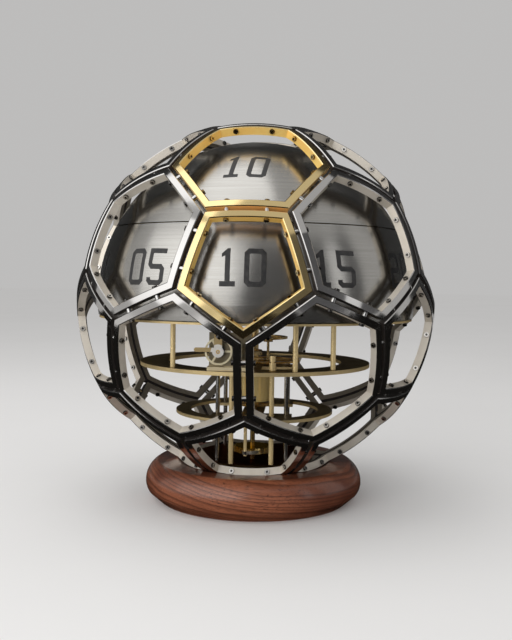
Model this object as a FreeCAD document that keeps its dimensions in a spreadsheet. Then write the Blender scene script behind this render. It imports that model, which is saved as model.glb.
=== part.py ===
# Spherical table clock: an openwork ball of 32 ring panels on a dished wooden base, with two turning
# dials and a small spring movement inside.
# Frame: +Z up, the dials read from -Y, origin at the bottom centre of the base. Lengths are millimetres.
import FreeCAD, Part
import Sketcher
import math
import os
import re

Vector = FreeCAD.Vector
doc = FreeCAD.newDocument("SphericalTableClock")

# Driving dimensions. A drop is measured down from the ball's centre, a rise up from it.
sizes = {
    # ball of ring panels
    "ballRadius": 110,
    "centreHeight": 123.3,
    "panelGap": 2.4,
    "wallThickness": 4.0,
    "wallDepth": 4.7,
    "wallBevel": 0.4,
    "fastenerOffset": 10.4,
    "spacerDiameter": 3.0,
    "screwDiameter": 1.5,
    "screwClearance": 0.05,
    "headDiameter": 2.9,
    "headHeight": 1.1,
    "socketDiameter": 1.5,
    "socketDepth": 0.7,
    # wooden base
    "baseRadius": 67.5,
    "baseWidestHeight": 11.7,
    "baseTopHeight": 24,
    "shoulderRound": 13.8,
    "lowerRound": 10.4,
    "creaseHeight": 6.2,
    "footRadius": 59,
    "ballSeatClearance": 0.3,
    "baseWellRadius": 24,
    # dials
    "dialRadius": 97.5,
    "dialThickness": 1.5,
    "seamRise": 44.1,
    "seamGap": 0.6,
    "bandDrop": 8.5,
    "dialRunningGap": 0.5,
    "spiderThickness": 2.5,
    "spiderRimWidth": 4,
    "spokeWidth": 5,
    "minuteSpiderRise": 3,
    "hourSpiderRise": 47,
    "spiderFit": 0.05,
    "hubRadius": 8,
    # plates
    "dialPlateRadius": 96.5,
    "dialPlateInner": 62,
    "dialPlateThickness": 1.2,
    "middleTopDrop": 37.2,
    "middleThickness": 2.2,
    "middleRadius": 71.5,
    "middleInner": 54,
    "lowerTopDrop": 67.5,
    "lowerThickness": 1.8,
    "lowerRadius": 49,
    "lowerInner": 40,
    "bottomRadius": 36,
    "bottomThickness": 2.2,
    "spineWidth": 13,
    "crossWidth": 18,
    "crossReach": 24,
    "crossPlace": 28.5,
    # posts and pillars
    "postCircle": 67,
    "postDiameter": 3,
    "brassPillarDiameter": 2.9,
    "brassPillarAcross": 12,
    "brassPillarForward": 31,
    "steelPillarDiameter": 2.6,
    "steelPillarAcross": 20.6,
    "steelPillarForward": 26,
    "studDiameter": 4,
    "studHeight": 4.2,
    "studNeckDiameter": 2,
    "studHeadDiameter": 3.4,
    "studHeadRise": 4.9,
    "studHeadHeight": 3.2,
    "studAcross": 13.2,
    "studForward": 56.2,
    # running fits and gears
    "pivotClearance": 0.05,
    "trainModule": 0.5,
    "motionModule": 0.5,
    "backlash": 0.24,
    "wheelThickness": 1.2,
    "pinionLength": 2.6,
    "webWidth": 2.2,
    "armWidth": 1.6,
    # centre
    "tubeRadius": 2.2,
    "hourArborRadius": 1.2,
    "tubeEndDrop": 62.9,
    "centreWheelDrop": 22.5,
    "centreHubRadius": 4.4,
    "cannonDrop": 61.9,
    "cannonLength": 1.9,
    "hourWheelDrop": 64.9,
    "hourHubRadius": 2.6,
    "minuteStudRadius": 1.2,
    # barrel
    "barrelGearDrop": 41.4,
    "drumRadius": 10.5,
    "drumWall": 0.8,
    "drumBottomDrop": 60,
    "barrelArborRadius": 1.5,
    "springGap": 0.5,
    "springHeight": 14,
    "ratchetDrop": 90,
    "ratchetThickness": 3.4,
    "ratchetRadius": 11.5,
    "ratchetToothDepth": 1.2,
    "squareWidth": 2.1,
    "squareLength": 9,
    "clickAcross": 3.5,
    "clickReach": 14,
    "clickThickness": 2,
    "clickPostDiameter": 2,
    "clickBoss": 2.1,
    "clickNoseGap": 0.15,
    # train above the middle plate
    "thirdWheelDrop": 34.9,
    "trainArborRadius": 0.8,
    "trainHubRadius": 2.4,
    "contrateModule": 0.4,
    "contrateRim": 1.6,
    "contrateToothDepth": 0.75,
    "contrateWeb": 1.0,
    "contrateRimHeight": 2,
    "crownThinning": 0.07,
    "escapePinionBehind": 5,
    # escapement, its axes run front to back
    "balanceAcross": 17,
    "balanceDrop": 26.7,
    "blockRear": 52,
    "blockPlate": 2,
    "blockFoot": 2,
    "blockWidth": 24,
    "blockFootDepth": 13,
    "blockTopDrop": 16.5,
    "balanceRadius": 7.8,
    "balanceRim": 1.1,
    "balanceWidth": 1.2,
    "balanceForward": 8.2,
    "staffRadius": 0.45,
    "rollerRadius": 1.3,
    "rollerGap": 0.35,
    "impulsePinRadius": 0.2,
    "impulsePinReach": 0.2,
    "forkSpan": 5.9,
    "forkArborRadius": 0.35,
    "forkForward": 4.7,
    "forkThickness": 0.6,
    "forkWidth": 0.84,
    "forkHeadWidth": 2,
    "forkSlot": 0.6,
    "escapeSpan": 4.5,
    "escapeRadius": 3.9,
    "escapeToothDepth": 0.9,
    "escapeForward": 3.9,
    "escapeThickness": 0.5,
    "escapeArborRadius": 0.4,
    "palletGap": 0.35,
    "stoneWidth": 0.5,
    "bridgeForward": 6.7,
    "bridgeThickness": 0.9,
    "bridgeWidth": 10,
    "bridgeRise": 4.5,
    "cockForward": 11.4,
    "cockThickness": 1.3,
    "cockWidth": 4.4,
    "cockTop": 2.2,
    "cockBossRadius": 3.2,
    "indexReach": 12.4,
    "indexWidth": 2.4,
    "indexThickness": 0.5,
    "indexRise": 1,
    "springForward": 10,
    "springWire": 0.25,
    "springStripHeight": 0.4,
    "springInner": 1.0,
    "springPitch": 0.42,
}

# Counts and proportions
barrelTeeth = 48
centrePinionTeeth = 12
centreWheelTeeth = 80
thirdPinionTeeth = 10
thirdWheelTeeth = 75
contratePinionTeeth = 10
contrateTeeth = 60
escapePinionTeeth = 6
escapeTeeth = 15
cannonTeeth = 12
minuteWheelTeeth = 36
minutePinionTeeth = 10
hourWheelTeeth = 40
ratchetTeeth = 30
spokeCount = 6
wheelArms = 5
contrateArms = 4
balanceArms = 3
hairspringTurns = 6
mainspringTurns = 7
mainspringFill = 0.45
pressureAngle = math.radians(25)
wheelAddendum = 0.7
wheelDedendum = 1.25
pinionAddendum = 0.8
pinionDedendum = 1.05
crownAddendum = 0.6
ratchetToothLead = 0.12
escapeToothEnds = (0.12, 0.3, 0.75)
clickTaper = 0.6
palletTurn = math.radians(30)
dialPostTurns = (-41.5, 22.8, 45, 158, -158)
sameLength = 1e-3

sheet = doc.addObject("Spreadsheet::Sheet", "Sizes")
for row, (name, value) in enumerate(sizes.items(), 1):
    sheet.set(f"A{row}", name)
    sheet.set(f"B{row}", str(value))
    sheet.setAlias(f"B{row}", name)
doc.recompute()

subParts = []


def size(name):
    return float(sheet.get(name))


def bind(item, **formulas):
    """Tie properties of an object to the sheet; a double underscore stands for a dot."""
    for name, formula in formulas.items():
        path = name.replace("__", ".")
        known = re.sub(r"[A-Za-z]\w*", lambda word: "Sizes." + word.group()
                       if word.group() in sizes else word.group(), formula)
        item.setExpression("." + path if "." in path else path, known)
    return item


def place(item, x="0", y="0", z="0"):
    return bind(item, Placement__Base__x=x, Placement__Base__y=y, Placement__Base__z=z)


def cylinder(name, radius, height, x="0", y="0", z="0"):
    item = doc.addObject("Part::Cylinder", name)
    return place(bind(item, Radius=radius, Height=height), x, y, z)


def box(name, length, width, height, x="0", y="0", z="0"):
    """Box centred on x and y that stands on z."""
    item = doc.addObject("Part::Box", name)
    bind(item, Length=length, Width=width, Height=height)
    return place(item, f"{x} - ({length}) / 2", f"{y} - ({width}) / 2", z)


def sphere(name, radius):
    item = doc.addObject("Part::Sphere", name)
    bind(item, Radius=radius)
    return place(item, z="centreHeight")


def fuse(name, items):
    item = doc.addObject("Part::MultiFuse", name)
    item.Shapes = items
    item.Refine = True
    return item


def cut(name, base, tool):
    item = doc.addObject("Part::Cut", name)
    item.Base = base
    item.Tool = tool
    return item


def common(name, base, tool):
    item = doc.addObject("Part::Common", name)
    item.Base = base
    item.Tool = tool
    return item


def group(name, items):
    item = doc.addObject("Part::Compound", name)
    item.Links = items
    return item


def feature(name, shape, placement=None):
    item = doc.addObject("Part::Feature", name)
    item.Shape = shape
    if placement:
        item.Placement = placement
    return item


def keep(item, node):
    """Register a finished sub-part under the name of its file."""
    item.Label = node
    subParts.append(item)
    return item


def polar(radius, angle, z=0.0):
    return Vector(radius * math.cos(angle), radius * math.sin(angle), z)


def prism(points, bottom, height):
    """Upright solid over a closed outline."""
    outline = [Vector(point.x, point.y, bottom) for point in points]
    return Part.Face(Part.makePolygon(outline + outline[:1])).extrude(Vector(0, 0, height))


def oriented(solid):
    if solid.Volume < 0:
        solid.reverse()
    return solid


def runThrough(name, radius, bottom, top, x="0", y="0"):
    """Upright cylinder between two levels."""
    return cylinder(name, radius, f"({top}) - ({bottom})", x, y, bottom)


# Levels
middleTop = "centreHeight - middleTopDrop"
middleBottom = f"{middleTop} - middleThickness"
lowerTop = "centreHeight - lowerTopDrop"
lowerBottom = f"{lowerTop} - lowerThickness"
bottomBottom = ("centreHeight - sqrt((ballRadius - wallDepth - ballSeatClearance)^2"
                " - bottomRadius^2)")
bottomTop = f"{bottomBottom} + bottomThickness"
dialPlateTop = "centreHeight - bandDrop - dialRunningGap"
dialPlateBottom = f"{dialPlateTop} - dialPlateThickness"

# The ball: directions of the pentagons are the corners of an icosahedron that has a face on top.
# The hexagons lie over its faces.


def direction(azimuth, polarAngle):
    """Unit vector; azimuth from the front (-Y) towards +X, polar angle from the top."""
    level = math.sin(polarAngle)
    return Vector(math.sin(azimuth) * level, -math.cos(azimuth) * level, math.cos(polarAngle))


nearAngle = math.acos(math.sqrt((5 + 2 * math.sqrt(5)) / 15))
farAngle = math.acos(math.sqrt((5 - 2 * math.sqrt(5)) / 15))
pentagonAxes = []
for polarAngle, firstTurn in ((nearAngle, math.pi / 3), (farAngle, 0),
                              (math.pi - farAngle, math.pi / 3), (math.pi - nearAngle, 0)):
    for third in range(3):
        pentagonAxes.append(direction(firstTurn + third * math.tau / 3, polarAngle))

neighbourAngle = math.atan(2)


def adjacent(first, second):
    return abs(first.getAngle(second) - neighbourAngle) < sameLength


hexagonAxes = []
for i, first in enumerate(pentagonAxes):
    for j, second in enumerate(pentagonAxes[:i]):
        for third in pentagonAxes[:j]:
            if adjacent(first, second) and adjacent(first, third) and adjacent(second, third):
                hexagonAxes.append((first + second + third).normalize())
hexagonAxes.sort(key=lambda axis: (round(-axis.z, 3), round(math.atan2(axis.x, -axis.y), 3)))

# Corners of the ball lie at the thirds of the icosahedron's edges.
upper, lower = [axis for axis in pentagonAxes if adjacent(axis, pentagonAxes[0])][:2]
cornerOne = (pentagonAxes[0] * 2 + upper).normalize()
cornerTwo = (pentagonAxes[0] * 2 + lower).normalize()
pentagonTilt = pentagonAxes[0].getAngle(cornerOne + cornerTwo)
hexagonTilt = min(axis.getAngle(hexagonAxes[0]) for axis in hexagonAxes[1:]) / 2


def pyramid(sides, tilt, inset):
    """Solid inside the planes that lie a distance inside the great circles over a panel's edges."""
    apex = inset / math.sin(tilt)
    reach = size("ballRadius") + inset
    corner = (reach - apex) * math.tan(tilt) / math.cos(math.pi / sides)
    base = [polar(corner, (k + 0.5) * math.tau / sides, reach) for k in range(sides)]
    tip = Vector(0, 0, apex)
    faces = [Part.Face(Part.makePolygon([tip, base[k], base[(k + 1) % sides], tip]))
             for k in range(sides)]
    faces.append(Part.Face(Part.makePolygon(base + base[:1])))
    return oriented(Part.Solid(Part.Shell(faces)))


def fastenerSeats(sides, tilt):
    """Where each screw head sits on the inside of a panel's walls, +Z pointing out through the wall."""
    middle = size("ballRadius") - size("wallDepth") / 2
    seat = size("panelGap") / 2 + size("wallThickness")
    swing = size("fastenerOffset") / middle
    for k in range(sides):
        azimuth = k * math.tau / sides
        outward = Vector(math.cos(tilt) * math.cos(azimuth), math.cos(tilt) * math.sin(azimuth),
                         -math.sin(tilt))
        along = Vector(-math.sin(azimuth), math.cos(azimuth), 0)
        over = polar(math.sin(tilt), azimuth, math.cos(tilt))
        for side in (-1, 1):
            spot = (over * math.cos(swing) + along * math.sin(side * swing)) * middle
            yield FreeCAD.Placement(spot - outward * seat, FreeCAD.Rotation(Vector(0, 0, 1), outward))


def panelRing(sides, tilt):
    """Ring of radial walls with bevelled outer corners and a screw hole at each fastener."""
    radius = size("ballRadius")
    seamAside = FreeCAD.Placement(Vector(), FreeCAD.Rotation(Vector(0, 1, 0), 90))
    outside = Part.makeSphere(radius)
    inside = Part.makeSphere(radius - size("wallDepth"))
    outside.Placement = seamAside
    inside.Placement = seamAside
    gap = size("panelGap") / 2
    ring = outside.cut(inside).common(pyramid(sides, tilt, gap))
    ring = ring.cut(pyramid(sides, tilt, gap + size("wallThickness")))
    rims = [edge for edge in ring.Edges
            if abs(edge.CenterOfMass.Length - radius) < size("wallDepth") / 2
            and all(abs(vertex.Point.Length - radius) < sameLength for vertex in edge.Vertexes)]
    bevel = min(size("wallBevel"), size("wallThickness") / 3, size("wallDepth") / 3)
    ring = ring.makeChamfer(bevel, rims)
    hole = Part.makeCylinder(size("screwDiameter") / 2 + size("screwClearance"),
                             size("wallThickness") * 2, Vector(0, 0, -size("wallThickness") / 2))
    drills = []
    for seat in fastenerSeats(sides, tilt):
        drill = hole.copy()
        drill.Placement = seat
        drills.append(drill)
    return ring.cut(drills)


def standing(axis, toward):
    """Placement of a panel: its axis out of the ball, one edge turned to a neighbour."""
    across = (toward - axis * toward.dot(axis)).normalize()
    turn = FreeCAD.Rotation(across, axis.cross(across), axis, "ZXY")
    return FreeCAD.Placement(Vector(0, 0, size("centreHeight")), turn)


head = cylinder("ScrewHead", "headDiameter / 2", "headHeight", z="-headHeight")
shank = cylinder("ScrewShank", "screwDiameter / 2", "wallThickness + panelGap / 2 - screwClearance")
socket = doc.addObject("Part::Prism", "ScrewSocket")
socket.Polygon = 6
bind(socket, Circumradius="socketDiameter / 2", Height="socketDepth")
place(socket, z="-headHeight")
screw = cut("Screw", fuse("ScrewBlank", [head, shank]), socket)
spacer = cut("Spacer", cylinder("SpacerRound", "spacerDiameter / 2", "panelGap", z="wallThickness"),
             cylinder("SpacerBore", "screwDiameter / 2 + screwClearance", "panelGap", z="wallThickness"))
doc.recompute()

# The gold pentagon faces the front, and the gold hexagon stands over it beside the top one.
front = Vector(0, -1, 0)
goldPentagon = min(pentagonAxes, key=front.getAngle)
goldHexagon = min((axis for axis in hexagonAxes if axis.getAngle(hexagonAxes[0]) < neighbourAngle),
                  key=front.getAngle)
screws = {"steel_screws": [], "gold_screws": []}
spacers = []
takenPlaces = []


def mounted(shape, placement):
    copy = shape.copy()
    copy.Placement = placement
    return copy


def addPanels(kind, sides, tilt, axes, others):
    ring = panelRing(sides, tilt)
    seats = list(fastenerSeats(sides, tilt))
    for number, axis in enumerate(axes, 1):
        placement = standing(axis, min(others, key=axis.getAngle))
        gold = axis in (goldPentagon, goldHexagon)
        node = f"gold_{kind}" if gold else f"{kind}_{number:02d}"
        keep(feature(node, ring, placement), node)
        for seat in seats:
            spot = placement.multiply(seat)
            screws["gold_screws" if gold else "steel_screws"].append(mounted(screw.Shape, spot))
            centre = spot.multVec(Vector(0, 0, size("wallThickness") + size("panelGap") / 2))
            if all(centre.distanceToPoint(taken) > size("panelGap") for taken in takenPlaces):
                takenPlaces.append(centre)
                spacers.append(mounted(spacer.Shape, spot))


addPanels("hexagon", 6, hexagonTilt, hexagonAxes, pentagonAxes)
addPanels("pentagon", 5, pentagonTilt, pentagonAxes, hexagonAxes)
for node, shapes in screws.items():
    keep(feature(node, Part.makeCompound(shapes)), node)
keep(feature("frame_spacers", Part.makeCompound(spacers)), "frame_spacers")


# Wooden base: a turned disc with a round shoulder, dished for the ball. Its well lets the key reach up.
def woodenBlank():
    body = doc.addObject("PartDesign::Body", "BaseBlank")
    plane = [item for item in body.Origin.OriginFeatures if item.Role == "XZ_Plane"][0]
    sketch = body.newObject("Sketcher::SketchObject", "BaseSection")
    sketch.AttachmentSupport = [(plane, "")]
    sketch.MapMode = "FlatFace"
    foot, radius, top = size("footRadius"), size("baseRadius"), size("baseTopHeight")
    crease, widest = size("creaseHeight"), size("baseWidestHeight")
    lowRound, highRound = size("lowerRound"), size("shoulderRound")
    lowCentre = Vector(radius - lowRound, widest, 0)
    highCentre = Vector(radius - highRound, widest, 0)
    lowTurn = -math.asin((widest - crease) / lowRound)
    highTurn = math.asin((top - widest) / highRound)
    creasePoint = lowCentre + polar(lowRound, lowTurn)
    topPoint = highCentre + polar(highRound, highTurn)
    upright = Vector(0, 0, 1)
    sketch.addGeometry([
        Part.LineSegment(Vector(), Vector(foot, 0, 0)),
        Part.LineSegment(Vector(foot, 0, 0), creasePoint),
        Part.ArcOfCircle(Part.Circle(lowCentre, upright, lowRound), lowTurn, 0),
        Part.ArcOfCircle(Part.Circle(highCentre, upright, highRound), 0, highTurn),
        Part.LineSegment(topPoint, Vector(0, top, 0)),
        Part.LineSegment(Vector(0, top, 0), Vector()),
    ], False)

    def hold(formula, kind, *values):
        index = sketch.addConstraint(Sketcher.Constraint(kind, *values))
        if formula:
            sketch.renameConstraint(index, formula)
            bind(sketch, **{f"Constraints__{formula}": formula})

    hold("", "Coincident", 0, 1, -1, 1)
    hold("", "Coincident", 0, 2, 1, 1)
    hold("", "Coincident", 1, 2, 2, 1)
    hold("", "Coincident", 2, 2, 3, 1)
    hold("", "Coincident", 3, 2, 4, 1)
    hold("", "Coincident", 4, 2, 5, 1)
    hold("", "Coincident", 5, 2, 0, 1)
    hold("", "Horizontal", 0)
    hold("", "Horizontal", 4)
    hold("", "Vertical", 5)
    hold("", "Horizontal", 2, 3, 2, 2)
    hold("", "Horizontal", 3, 3, 3, 1)
    hold("footRadius", "DistanceX", 0, 2, foot)
    hold("creaseHeight", "DistanceY", 1, 2, crease)
    hold("baseRadius", "DistanceX", 2, 2, radius)
    hold("baseWidestHeight", "DistanceY", 2, 2, widest)
    hold("baseTopHeight", "DistanceY", 4, 2, top)
    hold("lowerRound", "Radius", 2, lowRound)
    hold("shoulderRound", "Radius", 3, highRound)
    turned = body.newObject("PartDesign::Revolution", "BaseTurned")
    turned.Profile = sketch
    turned.ReferenceAxis = (sketch, ["V_Axis"])
    turned.Angle = 360
    return body


barrelAway = size("trainModule") * (barrelTeeth + centrePinionTeeth) / 2
barrelPlace = str(-barrelAway)
dish = sphere("BaseDish", "ballRadius + ballSeatClearance")
well = cylinder("BaseWell", "baseWellRadius", "baseTopHeight")
keep(cut("WoodBase", cut("DishedBase", woodenBlank(), dish), well), "wood_base")

# Dials: two zones of one spherical shell, parted by a thin seam.
dialShell = cut("DialShell", sphere("DialOutside", "dialRadius"),
                sphere("DialInside", "dialRadius - dialThickness"))
capZone = runThrough("CapZone", "dialRadius", "centreHeight + seamRise + seamGap / 2",
                     "centreHeight + dialRadius")
bandZone = runThrough("BandZone", "dialRadius", "centreHeight - bandDrop",
                      "centreHeight + seamRise - seamGap / 2")
keep(common("HourCap", dialShell, capZone), "hour_cap")
keep(common("MinuteBand", dialShell, bandZone), "minute_band")


# Flat wheels and spiders
def roundBar(radius, thickness):
    return Part.makeCylinder(radius, thickness, Vector(0, 0, -thickness / 2))


def crossedOut(disc, rimInner, hub, thickness, spokeWidth, count):
    """Cut the web of a disc away between hub and rim, leaving spokes."""
    windows = roundBar(rimInner, thickness).cut(roundBar(hub, thickness))
    for k in range(count):
        spoke = Part.makeBox(rimInner + thickness, spokeWidth, thickness * 2,
                             Vector(0, -spokeWidth / 2, -thickness))
        spoke.rotate(Vector(), Vector(0, 0, 1), 360 * k / count)
        windows = windows.cut(spoke)
    return disc.cut(windows)


def gearOutline(teeth, module, addendum, dedendum):
    """Involute gear with a tooth on +X, thinned by half the backlash."""
    pitch = module * teeth / 2
    base = pitch * math.cos(pressureAngle)
    tip = pitch + addendum * module
    root = pitch - dedendum * module
    half = ((math.pi * module - size("backlash")) / 4 / pitch
            + math.tan(pressureAngle) - pressureAngle)

    def flank(radius):
        slope = math.acos(min(1, base / radius))
        return half - (math.tan(slope) - slope)

    start = max(base, root)
    steps = [start, (start + tip) / 2, tip]
    points = []
    for k in range(teeth):
        centre = k * math.tau / teeth
        points.append(polar(root, centre - flank(start)))
        points += [polar(radius, centre - flank(radius)) for radius in steps if radius > root]
        points += [polar(radius, centre + flank(radius)) for radius in reversed(steps)
                   if radius > root]
        points.append(polar(root, centre + flank(start)))
    return points


def wheelBlank(teeth, module):
    thickness = size("wheelThickness")
    return prism(gearOutline(teeth, module, wheelAddendum, wheelDedendum), -thickness / 2, thickness)


def wheel(teeth, module, hub):
    rimInner = module * (teeth / 2 - wheelDedendum) - size("webWidth")
    return crossedOut(wheelBlank(teeth, module), rimInner, hub, size("wheelThickness"),
                      size("armWidth"), wheelArms)


def pinion(teeth, module, length):
    return prism(gearOutline(teeth, module, pinionAddendum, pinionDedendum), -length / 2, length)


def turned(shape, radians):
    copy = shape.copy()
    copy.rotate(Vector(), Vector(0, 0, 1), math.degrees(radians))
    return copy


def facing(teeth, towards):
    """Turn that puts a gap between two teeth on the line towards a mating tooth."""
    return towards + math.pi / teeth


def spider(name, rise, bore):
    """Spoked carrier that fits inside a dial at its own height."""
    top = rise + size("spiderThickness")
    inside = size("dialRadius") - size("dialThickness")
    rim = math.sqrt(inside ** 2 - top ** 2) - size("spiderFit")
    thickness = size("spiderThickness")
    shape = crossedOut(roundBar(rim, thickness), rim - size("spiderRimWidth"), size("hubRadius"),
                       thickness, size("spokeWidth"), spokeCount)
    return shape.cut(roundBar(bore, thickness * 2))


# Plates
def plate(name, outer, inner, thickness, bottom, holes):
    """Ring plate with a spine from front to rear and two cross-bars, drilled for posts and pivots."""
    ring = cut(name + "Ring", cylinder(name + "Disc", outer, thickness, z=bottom),
               cylinder(name + "Window", inner, thickness, z=bottom))
    spine = box(name + "Spine", "spineWidth", f"2 * {inner} + 2", thickness, z=bottom)
    bars = [box(f"{name}Bar{count}", "2 * crossReach", "crossWidth", thickness,
                y=f"{side} * crossPlace", z=bottom) for count, side in enumerate((-1, 1))]
    drills = [cylinder(f"{name}Hole{count}", radius, thickness, x, y, bottom)
              for count, (x, y, radius) in enumerate(holes)]
    return cut(name, fuse(name + "Web", [ring, spine] + bars), group(name + "Holes", drills))


centreAway = size("trainModule") * (centreWheelTeeth + thirdPinionTeeth) / 2
thirdAway = size("trainModule") * (thirdWheelTeeth + contratePinionTeeth) / 2
contrateRadius = size("contrateModule") * contrateTeeth / 2
escapeAcross = size("balanceAcross") - size("forkSpan") - size("escapeSpan")
contrateAt = Vector(-escapeAcross, contrateRadius + size("escapePinionBehind") - size("blockRear"), 0)
contrateTurn = math.atan2(contrateAt.y, contrateAt.x)
thirdSwing = math.acos((centreAway ** 2 + contrateAt.Length ** 2 - thirdAway ** 2)
                       / (2 * centreAway * contrateAt.Length))
thirdAt = polar(centreAway, contrateTurn + thirdSwing)
motionAway = size("motionModule") * (cannonTeeth + minuteWheelTeeth) / 2

trainHole = "trainArborRadius + pivotClearance"
trainHoles = [(str(spot.x), str(spot.y), trainHole) for spot in (thirdAt, contrateAt)]
tubeHole = ("0", "0", "tubeRadius + pivotClearance")
barrelHole = ("0", barrelPlace, "barrelArborRadius + pivotClearance")
pillarHoles = [(f"{side} * brassPillarAcross", "-brassPillarForward",
                "brassPillarDiameter / 2 + pivotClearance") for side in (-1, 1)]
pillarHoles += [(f"{side} * steelPillarAcross", f"{depth} * steelPillarForward",
                 "steelPillarDiameter / 2 + pivotClearance") for side in (-1, 1) for depth in (-1, 1)]
clickHole = ("-clickAcross", f"{barrelPlace} - clickReach", "clickPostDiameter / 2 + pivotClearance")

keep(plate("DialPlate", "dialPlateRadius", "dialPlateInner", "dialPlateThickness",
           dialPlateBottom, [tubeHole] + trainHoles), "dial_plate")
keep(plate("MiddlePlate", "middleRadius", "middleInner", "middleThickness", middleBottom,
           [tubeHole, barrelHole] + trainHoles), "middle_plate")
lowerPlate = plate("LowerPlate", "lowerRadius", "lowerInner", "lowerThickness", lowerBottom,
                   [("0", "0", "hourArborRadius + pivotClearance"), barrelHole, clickHole]
                   + pillarHoles)
minuteStud = runThrough("MinuteStud", "minuteStudRadius", lowerBottom,
                        "centreHeight - cannonDrop + wheelThickness", y=str(motionAway))
keep(fuse("LowerPlateWithStud", [lowerPlate, minuteStud]), "lower_plate")
bottomDisc = cylinder("BottomDisc", "bottomRadius", "bottomThickness", z=bottomBottom)
bottomHole = cylinder("BottomHole", barrelHole[2], "bottomThickness", y=barrelPlace, z=bottomBottom)
keep(cut("BottomPlate", bottomDisc, bottomHole), "bottom_plate")

# Posts and pillars. The front left keeps one post, because the escapement stands there.
brass = []
for count, degrees in enumerate(dialPostTurns):
    brass.append(runThrough(f"DialPost{count}", "postDiameter / 2", middleTop, dialPlateBottom,
                            f"postCircle * sin({degrees})", f"-postCircle * cos({degrees})"))
for side in (-1, 1):
    brass.append(runThrough(f"BrassPillar{side + 1}", "brassPillarDiameter / 2", bottomTop,
                            middleBottom, f"{side} * brassPillarAcross", "-brassPillarForward"))
brass.append(runThrough("ClickPost", "clickPostDiameter / 2",
                        "centreHeight - ratchetDrop - clickThickness", lowerTop,
                        clickHole[0], clickHole[1]))
studRounds = []
for name, width, top in (("Foot", "studDiameter", "studHeight"),
                         ("Neck", "studNeckDiameter", "studHeadRise"),
                         ("Head", "studHeadDiameter", "studHeadRise + studHeadHeight")):
    bottom = f"{middleTop} + studHeadRise" if name == "Head" else middleTop
    studRounds.append(runThrough("Stud" + name, width + " / 2", bottom, f"{middleTop} + {top}",
                                 "studAcross", "-studForward"))
brass.append(fuse("HeadedStud", studRounds))
keep(group("BrassPosts", brass), "brass_posts")
steel = []
for count, (across, depth) in enumerate(((-1, -1), (1, -1), (-1, 1), (1, 1))):
    steel.append(runThrough(f"SteelPillar{count}", "steelPillarDiameter / 2", bottomTop, middleBottom,
                            f"{across} * steelPillarAcross", f"{depth} * steelPillarForward"))
keep(group("SteelPillars", steel), "steel_pillars")


# Centre: the tube turns once an hour and carries the minute band, the arbor inside it the hour cap.
towardBarrel = -math.pi / 2
centrePinion = feature("CentrePinion", turned(pinion(centrePinionTeeth, size("trainModule"),
                       size("pinionLength")), facing(centrePinionTeeth, towardBarrel)))
place(centrePinion, z="centreHeight - barrelGearDrop")
thirdTurn = math.atan2(thirdAt.y, thirdAt.x)
centreWheel = feature("CentreWheel", turned(wheel(centreWheelTeeth, size("trainModule"),
                      size("centreHubRadius")), thirdTurn))
place(centreWheel, z="centreHeight - centreWheelDrop")
towardMinute = math.pi / 2
cannon = feature("CannonPinion", turned(pinion(cannonTeeth, size("motionModule"),
                 size("cannonLength")), facing(cannonTeeth, towardMinute)))
place(cannon, z="centreHeight - cannonDrop")
tubeTop = "centreHeight + minuteSpiderRise + spiderThickness"
tubeSolid = runThrough("TubeRound", "tubeRadius", "centreHeight - tubeEndDrop", tubeTop)
tubeBore = runThrough("TubeBore", "hourArborRadius + pivotClearance", "centreHeight - tubeEndDrop",
                      tubeTop)
tube = cut("CentreTube", fuse("TubeWithWheels", [tubeSolid, centrePinion, centreWheel, cannon]), tubeBore)
keep(tube, "centre_tube")
minuteSpider = feature("MinuteSpider", spider("MinuteSpider", size("minuteSpiderRise"),
                                              size("tubeRadius") + size("pivotClearance")))
place(minuteSpider, z="centreHeight + minuteSpiderRise + spiderThickness / 2")
keep(minuteSpider, "minute_spider")

hourModule = 2 * motionAway / (minutePinionTeeth + hourWheelTeeth)
hourWheel = feature("HourWheel", turned(wheel(hourWheelTeeth, hourModule,
                    size("hourHubRadius")), facing(hourWheelTeeth, towardMinute)))
place(hourWheel, z="centreHeight - hourWheelDrop")
hourTop = "centreHeight + hourSpiderRise + spiderThickness"
hourRound = runThrough("HourRound", "hourArborRadius", lowerBottom, hourTop)
hourSpider = feature("HourSpider", spider("HourSpider", size("hourSpiderRise"),
                                          size("hourArborRadius") / 2))
place(hourSpider, z="centreHeight + hourSpiderRise + spiderThickness / 2")
keep(fuse("HourArbor", [hourRound, hourWheel, hourSpider]), "hour_arbor")

# Minute wheel on its stud
minutePinionLength = size("hourWheelDrop") - size("cannonDrop") + size("wheelThickness")
minuteGear = feature("MinuteGear", turned(wheelBlank(minuteWheelTeeth, size("motionModule")),
                                          -towardMinute))
place(minuteGear, y=str(motionAway), z="centreHeight - cannonDrop")
minuteLeaves = feature("MinuteLeaves", turned(pinion(minutePinionTeeth, hourModule,
                                              minutePinionLength), -towardMinute))
place(minuteLeaves, y=str(motionAway), z=f"centreHeight - cannonDrop - {minutePinionLength / 2}")
minuteBore = cylinder("MinuteBore", "minuteStudRadius + pivotClearance", "lowerTopDrop",
                      y=str(motionAway), z=lowerTop)
keep(cut("MinuteWheel", fuse("MinuteBlank", [minuteGear, minuteLeaves]), minuteBore), "minute_wheel")


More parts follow.
